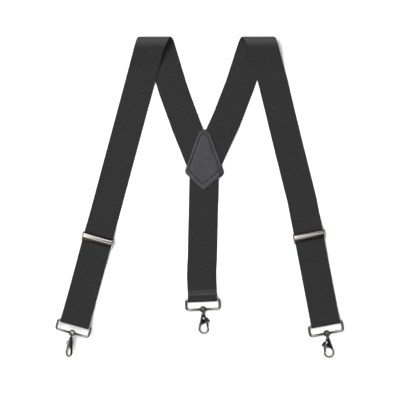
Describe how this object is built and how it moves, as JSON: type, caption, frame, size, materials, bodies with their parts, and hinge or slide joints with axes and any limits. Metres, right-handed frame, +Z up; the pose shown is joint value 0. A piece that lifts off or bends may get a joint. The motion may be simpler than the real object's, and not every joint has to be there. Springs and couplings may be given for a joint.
{
  "type": "y-back suspenders",
  "caption": "Wide elastic Y-back suspenders with a leather crossing patch, cam-lever adjusters and swivel snap hooks on wire rings, laid flat with the front straps on top.",
  "frame": {"origin": "on the surface the suspenders lie on, under the middle of the whole layout", "axes": "+Y from the hooks towards the shoulder folds, +Z up, +X to the wearer's left as laid, with the outer faces of the front straps up"},
  "size_m": [0.4909, 0.5465, 0.02],
  "materials": {
    "webbing": "matt black woven elastic webbing",
    "patch_leather": "fine-grained black leather with a slight sheen",
    "thread": "black polyester sewing thread",
    "ring_metal": "polished nickel-plated steel wire",
    "hook_metal": "dark nickel-plated die casting",
    "adjuster_metal": "polished nickel-plated stamped steel",
    "spring_steel": "plain spring steel"
  },
  "bodies": {
    "harness": {"left_strap": "webbing", "right_strap": "webbing", "back_strap": "webbing", "patch_inner": "patch_leather", "patch_outer": "patch_leather", "patch_stitches": "thread", "back_hem_stitches": "thread"},
    "left_adjuster": {"left_adjuster_frame": "adjuster_metal", "left_adjuster_pin": "adjuster_metal", "left_loop_stitches": "thread"},
    "left_cam_lever": {"left_adjuster_lever": "adjuster_metal"},
    "left_strap_end": {"left_loop": "webbing"},
    "right_adjuster": {"right_adjuster_frame": "adjuster_metal", "right_adjuster_pin": "adjuster_metal", "right_loop_stitches": "thread"},
    "right_cam_lever": {"right_adjuster_lever": "adjuster_metal"},
    "right_strap_end": {"right_loop": "webbing"},
    "left_end_ring": {"left_ring": "ring_metal"},
    "left_snap_hook": {"left_hook_body": "hook_metal", "left_swivel_rivet": "hook_metal", "left_trigger_pin": "hook_metal", "left_trigger_spring": "spring_steel"},
    "left_gate": {"left_trigger": "hook_metal"},
    "right_end_ring": {"right_ring": "ring_metal"},
    "right_snap_hook": {"right_hook_body": "hook_metal", "right_swivel_rivet": "hook_metal", "right_trigger_pin": "hook_metal", "right_trigger_spring": "spring_steel"},
    "right_gate": {"right_trigger": "hook_metal"},
    "back_end_ring": {"back_ring": "ring_metal"},
    "back_snap_hook": {"back_hook_body": "hook_metal", "back_swivel_rivet": "hook_metal", "back_trigger_pin": "hook_metal", "back_trigger_spring": "spring_steel"},
    "back_gate": {"back_trigger": "hook_metal"}
  },
  "joints": [
    {"name": "left_adjuster_slide", "type": "slide", "parent": "harness", "child": "left_adjuster", "axis": [-0.2617, -0.9652, 0], "range_m": [-0.15, 0.16], "deforming": ["left_strap"]},
    {"name": "left_lever_hinge", "type": "hinge", "parent": "left_adjuster", "child": "left_cam_lever", "pos_m": [-0.17212, -0.06826, 0.0082], "axis": [-0.9652, 0.2617, 0], "range_deg": [0, 105]},
    {"name": "left_end_slide", "type": "slide", "parent": "left_adjuster", "child": "left_strap_end", "axis": [-0.2617, -0.9652, 0], "range_m": [-0.08, 0.075], "deforming": ["left_loop"]},
    {"name": "right_adjuster_slide", "type": "slide", "parent": "harness", "child": "right_adjuster", "axis": [0.1874, -0.9823, 0], "range_m": [-0.15, 0.16], "deforming": ["right_strap"]},
    {"name": "right_lever_hinge", "type": "hinge", "parent": "right_adjuster", "child": "right_cam_lever", "pos_m": [0.18556, -0.06178, 0.0082], "axis": [-0.9823, -0.1874, 0], "range_deg": [0, 105]},
    {"name": "right_end_slide", "type": "slide", "parent": "right_adjuster", "child": "right_strap_end", "axis": [0.1874, -0.9823, 0], "range_m": [-0.08, 0.075], "deforming": ["right_loop"]},
    {"name": "left_ring_hinge", "type": "hinge", "parent": "left_strap_end", "child": "left_end_ring", "pos_m": [-0.21213, -0.21583, 0.0085], "axis": [-0.9652, 0.2617, 0], "range_deg": [0, 140]},
    {"name": "left_hook_swivel", "type": "hinge", "parent": "left_end_ring", "child": "left_snap_hook", "pos_m": [-0.21685, -0.23124, 0.01116], "axis": [-0.1388, -0.9879, -0.0698], "continuous": true},
    {"name": "left_trigger_hinge", "type": "hinge", "parent": "left_snap_hook", "child": "left_gate", "pos_m": [-0.21994, -0.24633, 0.00893], "axis": [-0.7648, 0.0622, 0.6412], "range_deg": [0, 28], "stiffness_Nm_per_rad": 0.04, "springref_deg": -14.32, "deforming": ["left_trigger_spring"]},
    {"name": "right_ring_hinge", "type": "hinge", "parent": "right_strap_end", "child": "right_end_ring", "pos_m": [0.21373, -0.21695, 0.00355], "axis": [-0.9823, -0.1874, 0], "range_deg": [0, 140]},
    {"name": "right_hook_swivel", "type": "hinge", "parent": "right_end_ring", "child": "right_snap_hook", "pos_m": [0.21699, -0.23281, 0.0028], "axis": [0.1323, -0.9912, 0], "continuous": true},
    {"name": "right_trigger_hinge", "type": "hinge", "parent": "right_snap_hook", "child": "right_gate", "pos_m": [0.21756, -0.24837, 0.0028], "axis": [0, 0, 1], "range_deg": [0, 28], "stiffness_Nm_per_rad": 0.04, "springref_deg": -14.32, "deforming": ["right_trigger_spring"]},
    {"name": "back_ring_hinge", "type": "hinge", "parent": "harness", "child": "back_end_ring", "pos_m": [0.0054, -0.1757, 0.00355], "axis": [-0.999, -0.0436, 0], "range_deg": [0, 140]},
    {"name": "back_hook_swivel", "type": "hinge", "parent": "back_end_ring", "child": "back_snap_hook", "pos_m": [0.00629, -0.19187, 0.0028], "axis": [0, -1, 0], "continuous": true},
    {"name": "back_trigger_hinge", "type": "hinge", "parent": "back_snap_hook", "child": "back_gate", "pos_m": [0.00779, -0.20737, 0.0028], "axis": [0, 0, -1], "range_deg": [0, 28], "stiffness_Nm_per_rad": 0.04, "springref_deg": -14.32, "deforming": ["back_trigger_spring"]}
  ],
  "couplings": [
    {"joint": "left_end_slide", "follows": "left_adjuster_slide", "ratio": -0.5},
    {"joint": "right_end_slide", "follows": "right_adjuster_slide", "ratio": -0.5}
  ]
}
